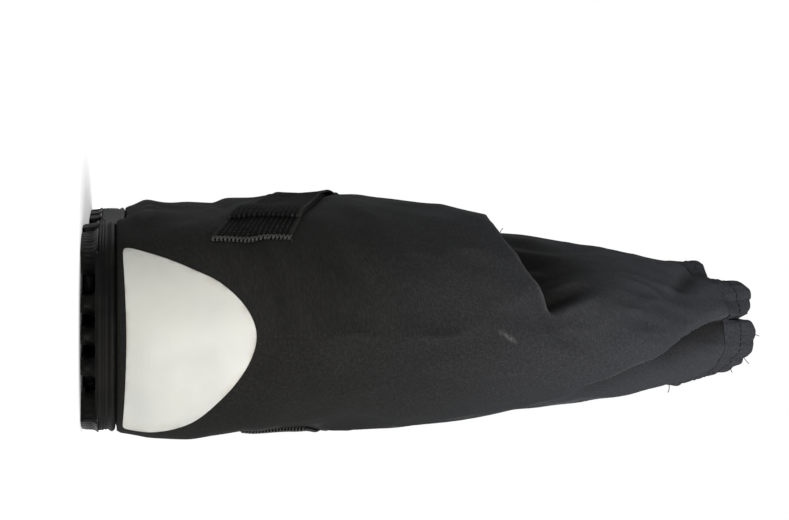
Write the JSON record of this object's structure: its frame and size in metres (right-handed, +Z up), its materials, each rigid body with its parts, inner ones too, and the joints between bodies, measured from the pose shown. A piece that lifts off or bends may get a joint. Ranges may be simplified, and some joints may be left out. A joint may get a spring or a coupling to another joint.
{
  "type": "rain overboot",
  "caption": "Slack waterproof fabric overboot for the left foot, with a thin lugged rubber sole, a hook-and-loop ankle strap and an elastic hem at the collar.",
  "frame": {"origin": "on the floor under the middle of the boot's box", "axes": "+Z up the leg, +Y from heel to toe, +X towards the inner side of the left foot, which is the wearer's right"},
  "size_m": [0.1245, 0.3076, 0.34],
  "materials": {
    "sole_rubber": "black moulded rubber with a soft gloss, duller and greyer between the lugs",
    "upper_fabric": "matte black coated woven fabric",
    "hem_fabric": "the same fabric folded over elastic and gathered",
    "strap_tape": "black hook-and-loop tape, dull and fibrous"
  },
  "bodies": {
    "root": {"outsole": "sole_rubber", "upper": "upper_fabric", "collar_hem": "hem_fabric", "strap": "strap_tape", "strap_patch": "strap_tape"}
  },
  "joints": []
}
